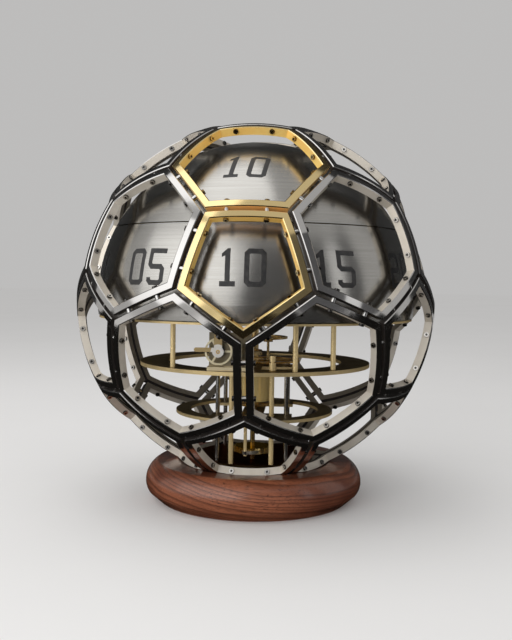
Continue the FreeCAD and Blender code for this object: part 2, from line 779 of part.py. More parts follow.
# Barrel, mainspring and winding arbor
def spiralStrip(inner, pitch, turns, thickness, height):
    """Flat spiral of half circles about two centres, square in section."""
    outward, inward = [], []
    for k in range(2 * turns):
        centre = Vector((-1 if k % 2 == 0 else 1) * pitch / 4, 0, -height / 2)
        radius = inner + pitch / 4 + k * pitch / 2
        first = 0 if k % 2 == 0 else math.pi
        for edges, reach in ((outward, radius + thickness / 2), (inward, radius - thickness / 2)):
            edges.append(Part.makeCircle(reach, centre, Vector(0, 0, 1), math.degrees(first),
                                         math.degrees(first) + 180))
    begins = [edges[0].valueAt(edges[0].FirstParameter) for edges in (outward, inward)]
    ends = [edges[-1].valueAt(edges[-1].LastParameter) for edges in (outward, inward)]
    caps = [Part.makeLine(begins[0], begins[1]), Part.makeLine(ends[0], ends[1])]
    wire = Part.Wire(Part.__sortEdges__(outward + inward + caps))
    return oriented(Part.Face(wire).extrude(Vector(0, 0, height)))


drumTop = "centreHeight - barrelGearDrop + wheelThickness / 2"
drumBottom = "centreHeight - drumBottomDrop"
barrelGear = feature("BarrelGear", turned(wheelBlank(barrelTeeth, size("trainModule")), -towardBarrel))
place(barrelGear, y=barrelPlace, z="centreHeight - barrelGearDrop")
drum = runThrough("Drum", "drumRadius", drumBottom, drumTop, y=barrelPlace)
cavity = runThrough("DrumCavity", "drumRadius - drumWall", f"{drumBottom} + drumWall",
                    f"{drumTop} - wheelThickness - drumWall", y=barrelPlace)
drumBore = runThrough("DrumBore", barrelHole[2], drumBottom, drumTop, y=barrelPlace)
barrel = cut("Barrel", fuse("BarrelBlank", [drum, barrelGear]), group("BarrelHollow", [cavity, drumBore]))
keep(barrel, "mainspring_barrel")

springInner = size("barrelArborRadius") + size("springGap") * 2
springRoom = size("drumRadius") - size("drumWall") - size("springGap") - springInner
springPitch = springRoom / (mainspringTurns + 0.5)
mainspring = feature("Mainspring", spiralStrip(springInner, springPitch, mainspringTurns,
                     springPitch * mainspringFill, size("springHeight")))
place(mainspring, y=barrelPlace, z=f"{drumBottom} + drumWall + springHeight / 2 + springGap")
keep(mainspring, "mainspring")


def ratchetOutline():
    tip = size("ratchetRadius")
    root = tip - size("ratchetToothDepth")
    points = []
    for k in range(ratchetTeeth):
        turn = k * math.tau / ratchetTeeth
        points.append(polar(tip, turn))
        points.append(polar(root, turn + ratchetToothLead * math.tau / ratchetTeeth))
    return points


arborRound = runThrough("WindingRound", "barrelArborRadius", bottomBottom, middleTop, y=barrelPlace)
ratchet = feature("Ratchet", prism(ratchetOutline(), -size("ratchetThickness") / 2,
                                   size("ratchetThickness")))
place(ratchet, y=barrelPlace, z="centreHeight - ratchetDrop")
square = box("WindingSquare", "squareWidth", "squareWidth", "squareLength", y=barrelPlace,
             z=f"{bottomBottom} - squareLength")
keep(fuse("BarrelArbor", [arborRound, ratchet, square]), "barrel_arbor")


def clickShape():
    """Click whose nose stands just clear of the ratchet's tips, about its pivot."""
    pivot = Vector(-size("clickAcross"), -size("clickReach"), 0)
    reach = size("ratchetRadius") + size("clickNoseGap")
    swing = math.atan2(pivot.y, pivot.x) + math.acos(reach / pivot.Length)
    nose = polar(reach, swing) - pivot
    outward = polar(size("clickBoss"), swing)
    arm = prism([Vector(), nose, nose + outward * clickTaper, outward], 0, size("clickThickness"))
    boss = Part.makeCylinder(size("clickBoss"), size("clickThickness"))
    bore = Part.makeCylinder(size("clickPostDiameter") / 2 + size("pivotClearance"),
                             size("clickThickness"))
    return oriented(arm).fuse(boss).cut(bore).removeSplitter()


click = feature("Click", clickShape())
place(click, clickHole[0], clickHole[1], "centreHeight - ratchetDrop - clickThickness / 2")
keep(click, "click")

# Train above the middle plate
contrateSpot = (str(contrateAt.x), str(contrateAt.y))
thirdSpot = (str(thirdAt.x), str(thirdAt.y))
thirdPinion = feature("ThirdPinion", turned(pinion(thirdPinionTeeth, size("trainModule"),
                      size("pinionLength")), facing(thirdPinionTeeth, thirdTurn + math.pi)))
place(thirdPinion, *thirdSpot, "centreHeight - centreWheelDrop")
toContrate = math.atan2(contrateAt.y - thirdAt.y, contrateAt.x - thirdAt.x)
thirdGear = feature("ThirdGear", turned(wheel(thirdWheelTeeth, size("trainModule"),
                    size("trainHubRadius")), toContrate))
place(thirdGear, *thirdSpot, "centreHeight - thirdWheelDrop")
thirdArbor = runThrough("ThirdArbor", "trainArborRadius", middleBottom, dialPlateTop, *thirdSpot)
keep(fuse("ThirdWheel", [thirdArbor, thirdPinion, thirdGear]), "third_wheel")

escapePitch = size("contrateModule") * escapePinionTeeth / 2


def contrateShape():
    """Crown wheel: spoked web, upright rim and a ring of upward teeth; its pitch plane is z = 0."""
    rimOuter = contrateRadius + size("contrateRim") / 2
    rimInner = rimOuter - size("contrateRim")
    top = size("contrateModule") * crownAddendum
    bottom = top - size("contrateToothDepth")
    floor = bottom - size("contrateRimHeight")
    web = size("contrateWeb")
    rim = Part.makeCylinder(rimOuter, bottom - floor, Vector(0, 0, floor))
    rim = rim.cut(Part.makeCylinder(rimInner, bottom - floor, Vector(0, 0, floor)))
    disc = crossedOut(roundBar(rimOuter, web), rimInner, size("trainHubRadius"), web,
                      size("armWidth"), contrateArms)
    disc.translate(Vector(0, 0, floor + web / 2))
    pitch = math.tau * contrateRadius / contrateTeeth
    halfPitch = pitch / 4 - size("crownThinning")
    slope = math.tan(pressureAngle)
    teeth = []
    for k in range(contrateTeeth):
        low, high = halfPitch - bottom * slope, halfPitch - top * slope
        outline = [Vector(rimInner, -low, bottom), Vector(rimInner, low, bottom),
                   Vector(rimInner, high, top), Vector(rimInner, -high, top)]
        tooth = Part.Face(Part.makePolygon(outline + outline[:1])).extrude(
            Vector(size("contrateRim"), 0, 0))
        teeth.append(turned(tooth, k * math.tau / contrateTeeth))
    return rim.fuse([disc] + teeth)


contrate = feature("ContrateGear", turned(contrateShape(), -math.pi / 2))
place(contrate, *contrateSpot, f"centreHeight - balanceDrop - {escapePitch}")
contratePinion = feature("ContratePinion", turned(pinion(contratePinionTeeth, size("trainModule"),
                         size("pinionLength")), facing(contratePinionTeeth, toContrate + math.pi)))
place(contratePinion, *contrateSpot, "centreHeight - thirdWheelDrop")
contrateArbor = runThrough("ContrateArbor", "trainArborRadius", middleBottom, dialPlateTop,
                           *contrateSpot)
keep(fuse("ContrateWheel", [contrateArbor, contratePinion, contrate]), "contrate_wheel")


# Escapement. Its pieces are drawn about their own axes with +Z forward and +Y up, then stood on edge.
def standForward(item, across, node):
    """Turn a drawn assembly to face the front, its drawing plane at the rear of the block."""
    item.Placement = FreeCAD.Placement(Vector(), FreeCAD.Rotation(Vector(1, 0, 0), 90))
    place(item, f"-({across})", "-blockRear", "centreHeight - balanceDrop")
    return keep(item, node)


def forwardHole(name, radius, across, forward, length, rise="0"):
    """Round bar along the view, from a distance in front of the block's rear face."""
    item = doc.addObject("Part::Cylinder", name)
    item.Placement = FreeCAD.Placement(Vector(), FreeCAD.Rotation(Vector(1, 0, 0), 90))
    bind(item, Radius=radius, Height=length)
    return place(item, f"-({across})", f"-blockRear - ({forward})",
                 f"centreHeight - balanceDrop + {rise}")


forkAcross = "balanceAcross - forkSpan"
escapeWheelAcross = "balanceAcross - forkSpan - escapeSpan"
bridgeFront = "bridgeForward + bridgeThickness"


def escapeOutline():
    tip = size("escapeRadius")
    root = tip - size("escapeToothDepth")
    step = math.tau / escapeTeeth
    tipEnd, rootStart, rootEnd = escapeToothEnds
    points = []
    for k in range(escapeTeeth):
        points += [polar(tip, k * step), polar(tip, (k + tipEnd) * step),
                   polar(root, (k + rootStart) * step), polar(root, (k + rootEnd) * step)]
    return points


escapeWheel = feature("EscapeToothed", prism(escapeOutline(), size("escapeForward"),
                                             size("escapeThickness")))
escapePinion = feature("EscapePinion", turned(pinion(escapePinionTeeth, size("contrateModule"),
                       size("pinionLength")), facing(escapePinionTeeth, -math.pi / 2)))
place(escapePinion, z="-escapePinionBehind")
escapeArbor = runThrough("EscapeArbor", "escapeArborRadius", "-escapePinionBehind - pinionLength",
                         bridgeFront)
standForward(fuse("EscapeWheel", [escapeWheel, escapePinion, escapeArbor]), escapeWheelAcross,
             "escape_wheel")


def forkShape():
    """Lever with a notched head towards the balance and two stones about the escape wheel."""
    level = size("forkForward")
    thickness = size("forkThickness")
    width = size("forkWidth")
    roller = size("forkSpan") - size("rollerRadius") + size("pivotClearance")
    shape = Part.makeBox(roller, width, thickness, Vector(-roller, -width / 2, level))
    headPiece, notch = [Part.makeBox(width, across, thickness,
                                     Vector(-roller - width / 2, -across / 2, level))
                        for across in (size("forkHeadWidth"), size("forkSlot"))]
    shape = shape.cut(notch).fuse(headPiece.cut(notch))
    reach = size("escapeRadius") + size("palletGap") + size("stoneWidth") / 2
    for side in (-1, 1):
        turn = math.pi + side * palletTurn
        stone = Part.makeBox(size("stoneWidth"), width, level + thickness - size("escapeForward"),
                             Vector(-size("stoneWidth") / 2, -width / 2, size("escapeForward")))
        stone.rotate(Vector(), Vector(0, 0, 1), math.degrees(turn))
        spot = Vector(size("escapeSpan"), 0, 0) + polar(reach, turn)
        stone.translate(spot)
        across = Vector(-spot.y, spot.x, 0).normalize() * (width / 2)
        arm = oriented(prism([across, -across, spot - across, spot + across], level, thickness))
        shape = shape.fuse([stone, arm])
    return shape


forkLever = feature("ForkLever", forkShape())
forkArbor = runThrough("ForkArbor", "forkArborRadius", "0", bridgeFront)
standForward(fuse("PalletFork", [forkLever, forkArbor]), forkAcross, "pallet_fork")


def balanceShape():
    thickness = size("balanceWidth")
    wheelRound = crossedOut(roundBar(size("balanceRadius"), thickness),
                            size("balanceRadius") - size("balanceRim"), size("rollerRadius"),
                            thickness, size("balanceRim"), balanceArms)
    wheelRound.translate(Vector(0, 0, size("balanceForward") + thickness / 2))
    return wheelRound


rollerStart = "forkForward + forkThickness + rollerGap"
balanceRound = feature("BalanceRound", balanceShape())
staff = runThrough("BalanceStaff", "staffRadius", "0", "cockForward + cockThickness")
roller = cylinder("Roller", "rollerRadius", "forkThickness", z=rollerStart)
impulsePin = cylinder("ImpulsePin", "impulsePinRadius", "impulsePinReach + forkThickness / 2",
                      x="rollerRadius - impulsePinRadius - pivotClearance",
                      z=f"{rollerStart} - impulsePinReach")
collet = cylinder("Collet", "springInner - springWire / 2 - pivotClearance", "springStripHeight",
                  z="springForward")
standForward(fuse("BalanceWheel", [balanceRound, staff, roller, impulsePin, collet]), "balanceAcross",
             "balance_wheel")

hairspring = feature("HairspringStrip", turned(spiralStrip(size("springInner"), size("springPitch"),
                     hairspringTurns, size("springWire"), size("springStripHeight")), math.pi / 2))
place(hairspring, z="springForward + springStripHeight / 2")
standForward(group("Hairspring", [hairspring]), "balanceAcross", "balance_spring")

# Block: rear plate, foot and front bridge that hold the escapement's arbors
blockPlate = box("BlockPlate", "blockWidth", "blockPlate", "middleTopDrop - blockTopDrop",
                 f"-({forkAcross})", "-blockRear - blockPlate / 2", middleTop)
blockFoot = box("BlockFoot", "blockWidth", "blockFootDepth", "blockFoot",
                f"-({forkAcross})", "-blockRear - blockFootDepth / 2", middleTop)
bridge = box("Bridge", "bridgeWidth", "bridgeThickness", "middleTopDrop - balanceDrop + bridgeRise",
             f"-({forkAcross} - escapeSpan / 2)", "-blockRear - bridgeForward - bridgeThickness / 2",
             middleTop)
blockHoles = [forwardHole("StaffHole", "staffRadius + pivotClearance", "balanceAcross", "0",
                          "blockPlate")]
for name, radius, across in (("Fork", "forkArborRadius", forkAcross),
                             ("Escape", "escapeArborRadius", escapeWheelAcross)):
    blockHoles.append(forwardHole(name + "Holes", f"{radius} + pivotClearance", across, "0",
                                  bridgeFront))
keep(cut("EscapementBlock", fuse("BlockBlank", [blockPlate, blockFoot, bridge]),
         group("BlockHoles", blockHoles)), "escapement_block")

# Cock over the balance, with its index and the stud that holds the spring's outer end
cockFront = "cockForward + cockThickness"
cockArm = box("CockArm", "cockWidth", "cockThickness", "balanceDrop - blockTopDrop + cockWidth / 2",
              "-balanceAcross", "-blockRear - cockForward - cockThickness / 2",
              "centreHeight - balanceDrop - cockWidth / 2")
cockTop = box("CockTop", "cockWidth", f"{cockFront} - blockPlate", "cockTop", "-balanceAcross",
              f"-blockRear - ({cockFront} + blockPlate) / 2", "centreHeight - blockTopDrop - cockTop")
cockBoss = forwardHole("CockBoss", "cockBossRadius", "balanceAcross", "cockForward", "cockThickness")
index = box("Index", "indexReach - cockBossRadius / 2", "indexThickness", "indexWidth",
            "-balanceAcross - (indexReach + cockBossRadius / 2) / 2", "-blockRear - cockForward",
            "centreHeight - balanceDrop + indexRise - indexWidth / 2")
indexTail = forwardHole("IndexTail", "indexWidth / 2", "balanceAcross + indexReach",
                        "cockForward - indexThickness / 2", "indexThickness", "indexRise")
studRise = f"springInner + springPitch * {hairspringTurns}"
springFront = "springForward + springStripHeight"
stud = forwardHole("SpringStud", "springWire", "balanceAcross", springFront,
                   f"cockForward - ({springFront})", studRise)
cockHole = forwardHole("CockHole", "staffRadius + pivotClearance", "balanceAcross", "cockForward",
                       "cockThickness")
keep(cut("BalanceCock", fuse("CockBlank", [cockArm, cockTop, cockBoss, index, indexTail, stud]),
         cockHole), "balance_cock")

# Check every object, then write one file for each sub-part.
doc.recompute()
for item in doc.Objects:
    if "Invalid" in item.State or "Error" in item.State:
        raise RuntimeError(f"{item.Name} failed: {item.State}")
for part in subParts:
    if part.Shape.isNull() or not part.Shape.isValid() or not part.Shape.Solids:
        raise RuntimeError(f"{part.Label} has no valid solid")
os.makedirs("parts", exist_ok=True)
for part in subParts:
    part.Shape.exportStep(f"parts/{part.Label}.step")
print(len(subParts), "sub-parts,", sum(len(part.Shape.Solids) for part in subParts), "solids")
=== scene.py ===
import math

import bpy
import numpy as np
from mathutils import Matrix, Vector


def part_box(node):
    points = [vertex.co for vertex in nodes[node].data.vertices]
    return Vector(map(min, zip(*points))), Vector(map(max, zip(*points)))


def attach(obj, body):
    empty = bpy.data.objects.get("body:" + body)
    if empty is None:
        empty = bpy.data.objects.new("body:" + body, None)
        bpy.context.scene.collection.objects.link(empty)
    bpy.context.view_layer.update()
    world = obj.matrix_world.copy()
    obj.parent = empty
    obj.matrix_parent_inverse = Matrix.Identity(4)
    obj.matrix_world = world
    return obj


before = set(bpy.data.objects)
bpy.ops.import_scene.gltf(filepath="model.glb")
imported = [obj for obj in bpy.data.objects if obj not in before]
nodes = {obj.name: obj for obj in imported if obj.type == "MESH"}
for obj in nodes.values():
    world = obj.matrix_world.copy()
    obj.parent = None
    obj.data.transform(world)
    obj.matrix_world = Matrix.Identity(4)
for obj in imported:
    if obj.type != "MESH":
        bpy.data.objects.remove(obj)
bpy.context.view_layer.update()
print("frame:", len(nodes), "nodes")

# The ball and the dials inside it share one centre. The minute band holds the dials' widest line.
bandLow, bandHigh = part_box("minute_band")
capLow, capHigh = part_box("hour_cap")
dialRadius = (bandHigh.x - bandLow.x) / 2
ballCentre = Vector((0, 0, capHigh.z - dialRadius))

# Camera, as measured from the corners of the panels in the photograph
photoView = {
    "distance": 0.5353,  # metres from the ball's centre
    "azimuth": 3.234,  # degrees from the front towards +X
    "elevation": 1.592,
    "yaw": 0.032,
    "pitch": 1.267,
    "roll": -0.813,
    "lens": 47.96,
    "sensor": 36,
    "clipStart": 0.01,
}


def makeCamera(view):
    # The camera looks at the ball's centre, and small turns in its own frame then place the ball.
    turn = {name: math.radians(view[name]) for name in ("azimuth", "elevation", "yaw", "pitch", "roll")}
    back = Vector((0, -math.cos(turn["elevation"]), math.sin(turn["elevation"])))
    back.rotate(Matrix.Rotation(turn["azimuth"], 3, "Z"))
    right = Vector((math.cos(turn["azimuth"]), math.sin(turn["azimuth"]), 0))
    looking = Matrix((right, back.cross(right), back))
    small = (Matrix.Rotation(turn["roll"], 3, "Z") @ Matrix.Rotation(turn["pitch"], 3, "X")
             @ Matrix.Rotation(turn["yaw"], 3, "Y"))
    camera = bpy.data.objects.new("photoCamera", bpy.data.cameras.new("photoCamera"))
    camera.data.lens = view["lens"]
    camera.data.sensor_width = view["sensor"]
    camera.data.clip_start = view["clipStart"]
    camera.matrix_world = (Matrix.Translation(ballCentre + back * view["distance"])
                           @ (small @ looking).transposed().to_4x4())
    bpy.context.scene.collection.objects.link(camera)
    bpy.context.scene.camera = camera


makeCamera(photoView)


# Shader helpers
def addNode(tree, kind, inputs=None, **settings):
    node = tree.nodes.new(kind)
    for name, value in settings.items():
        setattr(node, name, value)
    for name, value in (inputs or {}).items():
        if isinstance(value, bpy.types.NodeSocket):
            tree.links.new(value, node.inputs[name])
        else:
            node.inputs[name].default_value = value
    return node


def math2(tree, operation, first, second=0.0):
    return addNode(tree, "ShaderNodeMath", {0: first, 1: second}, operation=operation).outputs[0]


def vector2(tree, operation, first, second, output=0):
    return addNode(tree, "ShaderNodeVectorMath", {0: first, 1: second}, operation=operation).outputs[output]


def remap(tree, value, low, high, toLow=0.0, toHigh=1.0):
    return addNode(tree, "ShaderNodeMapRange", {"Value": value, "From Min": low, "From Max": high,
                   "To Min": toLow, "To Max": toHigh}, interpolation_type="SMOOTHSTEP").outputs[0]


def mixColour(tree, factor, first, second, blend="MIX"):
    node = addNode(tree, "ShaderNodeMix", {0: factor, 6: first, 7: second}, data_type="RGBA",
                   blend_type=blend)
    return node.outputs[2]


def mixValue(tree, factor, first, second):
    return addNode(tree, "ShaderNodeMix", {0: factor, 2: first, 3: second}).outputs[0]


def noise(tree, vector, scale, detail, roughness):
    return addNode(tree, "ShaderNodeTexNoise", {"Vector": vector, "Scale": scale, "Detail": detail,
                   "Roughness": roughness}).outputs[0]


def objectPoint(tree):
    return addNode(tree, "ShaderNodeTexCoord").outputs["Object"]


def newGroup(name, inputs, outputs):
    tree = bpy.data.node_groups.new(name, "ShaderNodeTree")
    for label, kind, value in inputs:
        socket = tree.interface.new_socket(label, in_out="INPUT", socket_type=kind)
        socket.default_value = value
    for label, kind in outputs:
        tree.interface.new_socket(label, in_out="OUTPUT", socket_type=kind)
    return tree, tree.nodes.new("NodeGroupInput"), tree.nodes.new("NodeGroupOutput")


def useGroup(tree, group, **values):
    return addNode(tree, "ShaderNodeGroup", values, node_tree=group)


# Brushing: noise drawn out along two axes and crowded along the third, as a mask and as a bump.
def makeBrushing():
    tree, given, result = newGroup("brushing", [
        ("Stretch", "NodeSocketVector", (1, 1, 1)), ("Depth", "NodeSocketFloat", 0.1)],
        [("Streak", "NodeSocketFloat"), ("Normal", "NodeSocketVector")])
    place = vector2(tree, "MULTIPLY", objectPoint(tree), given.outputs["Stretch"])
    streak = noise(tree, place, 1.0, 4.0, 0.65)
    bump = addNode(tree, "ShaderNodeBump", {"Strength": given.outputs["Depth"], "Distance": 0.0002,
                   "Height": streak})
    tree.links.new(streak, result.inputs["Streak"])
    tree.links.new(bump.outputs[0], result.inputs["Normal"])
    return tree


# Handling: broad cloudy patches and fine specks, for finger haze and small stains.
def makeHandling():
    tree, given, result = newGroup("handling", [
        ("Patch", "NodeSocketFloat", 30.0), ("Speck", "NodeSocketFloat", 900.0)],
        [("Haze", "NodeSocketFloat"), ("Specks", "NodeSocketFloat")])
    place = objectPoint(tree)
    haze = noise(tree, place, given.outputs["Patch"], 5.0, 0.6)
    specks = noise(tree, place, given.outputs["Speck"], 2.0, 0.5)
    tree.links.new(remap(tree, haze, 0.35, 0.68), result.inputs["Haze"])
    tree.links.new(remap(tree, specks, 0.6, 0.75), result.inputs["Specks"])
    return tree


# Panel zones: how far a face looks out of the ball tells the polished face, the bevel, the wall and the
# back. How far a wall's plane stands from the ball's centre, along the way that it faces, tells a wall
# beside a gap, below zero, from a wall around a window. It tells the tops of the screws' heads as well.
screwTop = 0.0063  # from the middle of a gap to the top of a screw's head
topTolerance = 0.00025


def makePanelZones():
    tree, given, result = newGroup("panelZones", [("Centre", "NodeSocketVector", ballCentre)],
                                   [("Face", "NodeSocketFloat"), ("Bevel", "NodeSocketFloat"),
                                    ("Back", "NodeSocketFloat"), ("Gap", "NodeSocketFloat"),
                                    ("Top", "NodeSocketFloat")])
    here = addNode(tree, "ShaderNodeTexCoord")
    offset = vector2(tree, "SUBTRACT", here.outputs["Object"], given.outputs["Centre"])
    outward = addNode(tree, "ShaderNodeVectorMath", {0: offset}, operation="NORMALIZE").outputs[0]
    facing = vector2(tree, "DOT_PRODUCT", outward, here.outputs["Normal"], "Value")
    standing = vector2(tree, "DOT_PRODUCT", offset, here.outputs["Normal"], "Value")
    face = remap(tree, facing, 0.84, 0.92)
    chamfer = math2(tree, "SUBTRACT", remap(tree, facing, 0.3, 0.5), face)
    tree.links.new(face, result.inputs["Face"])
    tree.links.new(chamfer, result.inputs["Bevel"])
    tree.links.new(remap(tree, facing, -0.9, -0.8, 1.0, 0.0), result.inputs["Back"])
    tree.links.new(remap(tree, standing, 0.0, 0.003, 1.0, 0.0), result.inputs["Gap"])
    top = math2(tree, "COMPARE", standing, screwTop)
    top.node.inputs[2].default_value = topTolerance
    tree.links.new(top, result.inputs["Top"])
    return tree


brushing = makeBrushing()
handling = makeHandling()
panelZones = makePanelZones()


def newMaterial(name):
    material = bpy.data.materials.new(name)
    material.use_nodes = True
    tree = material.node_tree
    return material, tree, tree.nodes["Principled BSDF"]


def plug(tree, shader, **sockets):
    for name, value in sockets.items():
        tree.links.new(value, shader.inputs[name.replace("_", " ")])


# Panels: polished outside, bright bevels, satin walls, with painted shade on the inward faces and on the
# nickel walls beside the gaps, and a painted orange reflection on the gold ones
panelFinishes = {
    "nickelPanel": {"face": (0.62, 0.607, 0.59, 1), "wall": (0.80, 0.74, 0.65, 1),
                    # back: the inward faces, darkened as painted shade
                    "shade": (0.70, 0.64, 0.55, 1), "back": (0.34, 0.30, 0.245, 1),
                    # gap: near black, painted shade between the panels
                    "gap": (0.07, 0.06, 0.055, 1), "faceRough": 0.07,
                    "bevelRough": 0.16, "wallRough": 0.42, "wallMetal": 0.6},
    "goldPanel": {"face": (0.93, 0.725, 0.36, 1), "wall": (1.0, 0.70, 0.22, 1),
                  # back: the inward faces, darkened to a dark brown as painted shade
                  "shade": (1.0, 0.62, 0.16, 1), "back": (0.16, 0.12, 0.07, 1),
                  # gap: a deeper orange than the wall, a painted reflection of the neighbouring gold
                  "gap": (1.0, 0.60, 0.20, 1), "faceRough": 0.10,
                  "bevelRough": 0.15, "wallRough": 0.34, "wallMetal": 0.45},
}
panelMarks = {"patch": 45.0, "speck": 1500.0, "stretch": (900, 900, 900), "depth": 0.12,
              "hazeRough": 0.05}


def panelMaterial(name, finish):
    material, tree, shader = newMaterial(name)
    zones = useGroup(tree, panelZones)
    marks = useGroup(tree, handling, Patch=panelMarks["patch"], Speck=panelMarks["speck"])
    grain = useGroup(tree, brushing, Stretch=panelMarks["stretch"], Depth=panelMarks["depth"])
    smooth = math2(tree, "ADD", zones.outputs["Face"], zones.outputs["Bevel"])
    wall = mixColour(tree, marks.outputs["Haze"], finish["shade"], finish["wall"])
    # Walls beside a gap take the gap colour: painted shade between the nickel panels, a painted orange
    # reflection of the neighbouring gold on the gold ones
    wall = mixColour(tree, zones.outputs["Gap"], wall, finish["gap"])
    colour = mixColour(tree, smooth, wall, finish["face"])
    # Inward faces take the back colour: painted shade inside the ball
    colour = mixColour(tree, zones.outputs["Back"], colour, finish["back"])
    rough = mixValue(tree, zones.outputs["Face"], finish["wallRough"], finish["faceRough"])
    rough = mixValue(tree, zones.outputs["Bevel"], rough, finish["bevelRough"])
    haze = math2(tree, "MULTIPLY", marks.outputs["Haze"], panelMarks["hazeRough"])
    rough = math2(tree, "ADD", rough, haze)
    flat = addNode(tree, "ShaderNodeNewGeometry").outputs["Normal"]
    normal = addNode(tree, "ShaderNodeMix", {0: smooth, 4: grain.outputs["Normal"], 5: flat},
                     data_type="VECTOR").outputs[1]
    metal = mixValue(tree, smooth, finish["wallMetal"], 1.0)
    plug(tree, shader, Base_Color=colour, Metallic=metal, Roughness=rough, Normal=normal)
    return material


wheelLow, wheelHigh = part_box("balance_wheel")
balanceAxis = tuple((wheelLow + wheelHigh) / 2)

# Plain metals: one colour pair and one brushing direction each. Where a share for level faces is given,
# faces that lie level take that share of the colour, as painted shade on their tops. Where "upper" is
# given, all above that height takes its share as well, as painted shade. A screw's sides and socket, below
# the flat top of its head, take a darker colour, painted shade; "rings" are colours by distance from the
# balance's axis, and "edge" tints what is seen along a surface.
metalFinishes = {
    "plateBrass": {"light": (0.74, 0.59, 0.32, 1), "dark": (0.66, 0.50, 0.25, 1), "rough": 0.42,
                   # level faces kept at this share of the colour: painted shade on the plate tops
                   "stretch": (60, 2200, 2200), "depth": 0.05, "metal": 0.65, "level": 0.20,
                   "edge": (0.80, 0.62, 0.36, 1)},
    # the bottom plate's brass, darkened to near black with a dark edge tint: painted shade
    "paintedShadeBrass": {"light": (0.13, 0.085, 0.04, 1), "dark": (0.08, 0.05, 0.024, 1), "rough": 0.38,
                    "stretch": (60, 2200, 2200), "depth": 0.05, "edge": (0.25, 0.16, 0.08, 1)},
    "blockBrass": {"light": (0.94, 0.82, 0.56, 1), "dark": (0.87, 0.72, 0.45, 1), "rough": 0.36,
                   # above this height the block is darkened to the share below: painted shade behind the
                   # balance
                   "stretch": (60, 2200, 2200), "depth": 0.05, "metal": 0.65, "upper": 0.0882,
                   "upperShadeShare": 0.30},
    "satinBrass": {"light": (0.87, 0.71, 0.43, 1), "dark": (0.78, 0.60, 0.33, 1), "rough": 0.32,
                   "stretch": (60, 2200, 2200), "depth": 0.06},
    "postBrass": {"light": (1.0, 0.80, 0.44, 1), "dark": (0.92, 0.69, 0.33, 1), "rough": 0.25,
                  "stretch": (900, 900, 2500), "depth": 0.03, "metal": 0.5},
    "giltBrass": {"light": (0.95, 0.74, 0.34, 1), "dark": (0.86, 0.61, 0.22, 1), "rough": 0.15,
                  "stretch": (900, 900, 3000), "depth": 0.03, "metal": 0.5},
    "balanceBrass": {"light": (0.94, 0.85, 0.62, 1), "dark": (0.88, 0.77, 0.50, 1), "rough": 0.30,
                     "stretch": (900, 900, 3000), "depth": 0.03, "metal": 0.6},
    "wheelBrass": {"light": (0.90, 0.71, 0.38, 1), "dark": (0.80, 0.58, 0.26, 1), "rough": 0.22,
                   "stretch": (2200, 2200, 2200), "depth": 0.04},
    "brightSteel": {"light": (0.76, 0.75, 0.73, 1), "dark": (0.64, 0.63, 0.61, 1), "rough": 0.18,
                    "stretch": (900, 900, 2600), "depth": 0.04},
    "cockNickel": {"light": (0.94, 0.91, 0.86, 1), "dark": (0.86, 0.82, 0.76, 1), "rough": 0.30,
                   "stretch": (900, 900, 3000), "depth": 0.04, "metal": 0.6,
                   "rings": ((0.0007, (0.20, 0.02, 0.04, 1)), (0.0012, (0.80, 0.58, 0.24, 1)),
                             (0.0042, None), (0.0400, (0.50, 0.37, 0.18, 1)))},
    "arborGilt": {"light": (0.95, 0.74, 0.34, 1), "dark": (0.86, 0.61, 0.22, 1), "rough": 0.20,
                  # level faces kept at this share of the colour: painted shade
                  "stretch": (900, 900, 3000), "depth": 0.03, "level": 0.30,
                  "edge": (0.70, 0.48, 0.20, 1)},
    "screwGold": {"light": (0.97, 0.80, 0.42, 1), "dark": (0.85, 0.62, 0.26, 1), "rough": 0.18,
                  # the head's sides and socket take this darker colour: painted shade
                  "stretch": (2500, 2500, 2500), "depth": 0.05, "flank": (0.22, 0.14, 0.05, 1)},
    "screwSteel": {"light": (0.84, 0.82, 0.78, 1), "dark": (0.66, 0.63, 0.58, 1), "rough": 0.20,
                   # the head's sides and socket take this darker colour: painted shade
                   "stretch": (2500, 2500, 2500), "depth": 0.05, "flank": (0.10, 0.095, 0.09, 1)},
    "springSteel": {"light": (0.20, 0.23, 0.30, 1), "dark": (0.08, 0.10, 0.15, 1), "rough": 0.26,
                    "stretch": (1500, 1500, 1500), "depth": 0.05},
}
metalMarks = {"patch": 80.0, "speck": 2500.0, "speckShare": 0.25, "hazeRough": (0.92, 1.1)}


